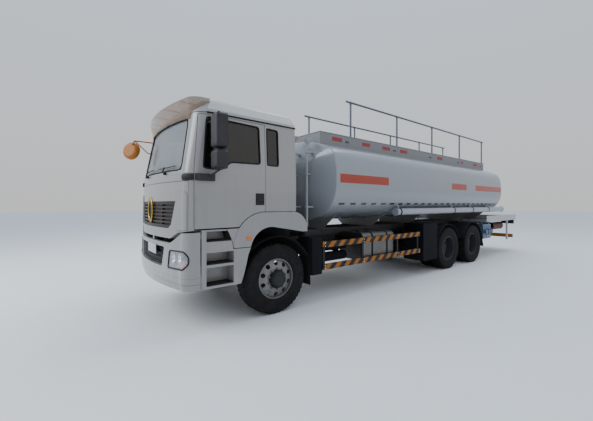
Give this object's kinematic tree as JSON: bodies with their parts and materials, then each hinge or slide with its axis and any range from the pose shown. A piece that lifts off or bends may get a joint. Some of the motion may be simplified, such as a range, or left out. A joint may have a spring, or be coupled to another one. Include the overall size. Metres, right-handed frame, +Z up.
{
  "type": "tanker truck",
  "caption": "Three-axle tanker truck: cab over engine, oval tank on a frame, guard rails on top, side guards and twin rear wheels.",
  "frame": {"origin": "on the ground under the middle of the truck's length and width", "axes": "+Z up, -Y towards the front of the truck, +X towards its left side"},
  "size_m": [3.09, 11.71, 3.781],
  "materials": {
    "cab_paint": "gloss white paint",
    "tank_paint": "gloss white paint",
    "dark_metal": "dark grey paint",
    "frame_paint": "satin dark frame paint",
    "rail_paint": "blue-grey paint",
    "wheel_steel": "silver paint",
    "tyre": "matte",
    "glass": "clear, slightly tinted",
    "smoked": "smoked brown",
    "lamp_lens": "clear lens",
    "black_plastic": "matte black",
    "interior": "textured grey",
    "fabric": "woven",
    "guard_paint": "yellow and black stripes",
    "aluminium": "brushed",
    "cast_steel": "rough",
    "tube_paint": "silver-lilac paint",
    "pump_paint": "blue-grey paint"
  },
  "bodies": {
    "chassis": {"chassis_frame": "frame_paint", "leaf_springs": "cast_steel", "front_axle_beam": "cast_steel", "engine": "cast_steel", "driveline": "cast_steel", "entry_steps": "cab_paint", "bumper": "cab_paint", "lamps": "lamp_lens", "tank": "tank_paint", "tank_mounts": "tank_paint", "coaming": "tank_paint", "hand_rails": "rail_paint", "hose_tubes": "tube_paint", "side_guards": "guard_paint", "fuel_tank": "aluminium", "tank_brackets": "dark_metal", "air_tanks": "dark_metal", "lockers": "dark_metal", "mudguards": "black_plastic", "rear_deck": "cab_paint", "valve_box": "pump_paint", "underrun_bar": "frame_paint"},
    "cab": {"cab_shell": "cab_paint", "cab_glass": "glass", "cab_roof": "cab_paint", "cab_floor": "interior", "seats": "fabric", "dashboard": "interior", "fenders": "cab_paint", "front_mirror": "black_plastic", "sun_visor": "smoked"},
    "lid": {"front_lid": "cab_paint", "grille": "black_plastic"},
    "tie_rod": {"tie_rod": "cast_steel"},
    "door_left": {"door_left": "cab_paint", "door_glass_left": "glass", "mirror_left": "black_plastic"},
    "knuckle_left": {"knuckle_left": "cast_steel"},
    "front_wheel_left": {"tyre_front_left": "tyre", "rim_front_left": "wheel_steel"},
    "first_wheels_left": {"tyres_first_left": "tyre", "rims_first_left": "wheel_steel"},
    "second_wheels_left": {"tyres_second_left": "tyre", "rims_second_left": "wheel_steel"},
    "door_right": {"door_right": "cab_paint", "door_glass_right": "glass", "mirror_right": "black_plastic"},
    "knuckle_right": {"knuckle_right": "cast_steel"},
    "front_wheel_right": {"tyre_front_right": "tyre", "rim_front_right": "wheel_steel"},
    "first_wheels_right": {"tyres_first_right": "tyre", "rims_first_right": "wheel_steel"},
    "second_wheels_right": {"tyres_second_right": "tyre", "rims_second_right": "wheel_steel"},
    "manhole_1": {"manhole_lid_1": "rail_paint"},
    "manhole_2": {"manhole_lid_2": "rail_paint"},
    "manhole_3": {"manhole_lid_3": "rail_paint"},
    "manhole_4": {"manhole_lid_4": "rail_paint"}
  },
  "joints": [
    {"name": "cab_tilt", "type": "hinge", "parent": "chassis", "child": "cab", "pos_m": [0, -5.555, 1], "axis": [1, 0, 0], "range_deg": [0, 50]},
    {"name": "lid_open", "type": "hinge", "parent": "cab", "child": "lid", "pos_m": [0, -5.696, 1.955], "axis": [-1, 0, 0], "range_deg": [0, 80]},
    {"name": "door_left_open", "type": "hinge", "parent": "cab", "child": "door_left", "pos_m": [1.246, -5.465, 1.9], "axis": [0, 0, -1], "range_deg": [0, 70]},
    {"name": "steer_left", "type": "hinge", "parent": "chassis", "child": "knuckle_left", "pos_m": [0.85, -4.215, 0.532], "axis": [0, 0, 1], "range_deg": [-38, 38]},
    {"name": "front_wheel_left_spin", "type": "hinge", "parent": "knuckle_left", "child": "front_wheel_left", "pos_m": [1.018, -4.215, 0.532], "axis": [1, 0, 0], "continuous": true},
    {"name": "first_wheels_left_spin", "type": "hinge", "parent": "chassis", "child": "first_wheels_left", "pos_m": [0.925, 0.96, 0.532], "axis": [1, 0, 0], "continuous": true},
    {"name": "second_wheels_left_spin", "type": "hinge", "parent": "chassis", "child": "second_wheels_left", "pos_m": [0.925, 2.36, 0.532], "axis": [1, 0, 0], "continuous": true},
    {"name": "door_right_open", "type": "hinge", "parent": "cab", "child": "door_right", "pos_m": [-1.246, -5.465, 1.9], "axis": [0, 0, 1], "range_deg": [0, 70]},
    {"name": "steer_right", "type": "hinge", "parent": "chassis", "child": "knuckle_right", "pos_m": [-0.85, -4.215, 0.532], "axis": [0, 0, 1], "range_deg": [-38, 38]},
    {"name": "front_wheel_right_spin", "type": "hinge", "parent": "knuckle_right", "child": "front_wheel_right", "pos_m": [-1.018, -4.215, 0.532], "axis": [1, 0, 0], "continuous": true},
    {"name": "first_wheels_right_spin", "type": "hinge", "parent": "chassis", "child": "first_wheels_right", "pos_m": [-0.925, 0.96, 0.532], "axis": [1, 0, 0], "continuous": true},
    {"name": "second_wheels_right_spin", "type": "hinge", "parent": "chassis", "child": "second_wheels_right", "pos_m": [-0.925, 2.36, 0.532], "axis": [1, 0, 0], "continuous": true},
    {"name": "tie_rod_pivot", "type": "hinge", "parent": "knuckle_left", "child": "tie_rod", "pos_m": [0.85, -4.005, 0.4], "axis": [0, 0, 1], "range_deg": [-38, 38]},
    {"name": "manhole_1_open", "type": "hinge", "parent": "chassis", "child": "manhole_1", "pos_m": [0, -1.34, 2.997], "axis": [-1, 0, 0], "range_deg": [0, 105]},
    {"name": "manhole_2_open", "type": "hinge", "parent": "chassis", "child": "manhole_2", "pos_m": [0, 0.252, 2.997], "axis": [-1, 0, 0], "range_deg": [0, 105]},
    {"name": "manhole_3_open", "type": "hinge", "parent": "chassis", "child": "manhole_3", "pos_m": [0, 1.844, 2.997], "axis": [-1, 0, 0], "range_deg": [0, 105]},
    {"name": "manhole_4_open", "type": "hinge", "parent": "chassis", "child": "manhole_4", "pos_m": [0, 3.436, 2.997], "axis": [-1, 0, 0], "range_deg": [0, 105]}
  ],
  "couplings": [
    {"joint": "steer_right", "follows": "steer_left", "ratio": 1},
    {"joint": "tie_rod_pivot", "follows": "steer_left", "ratio": -1}
  ]
}
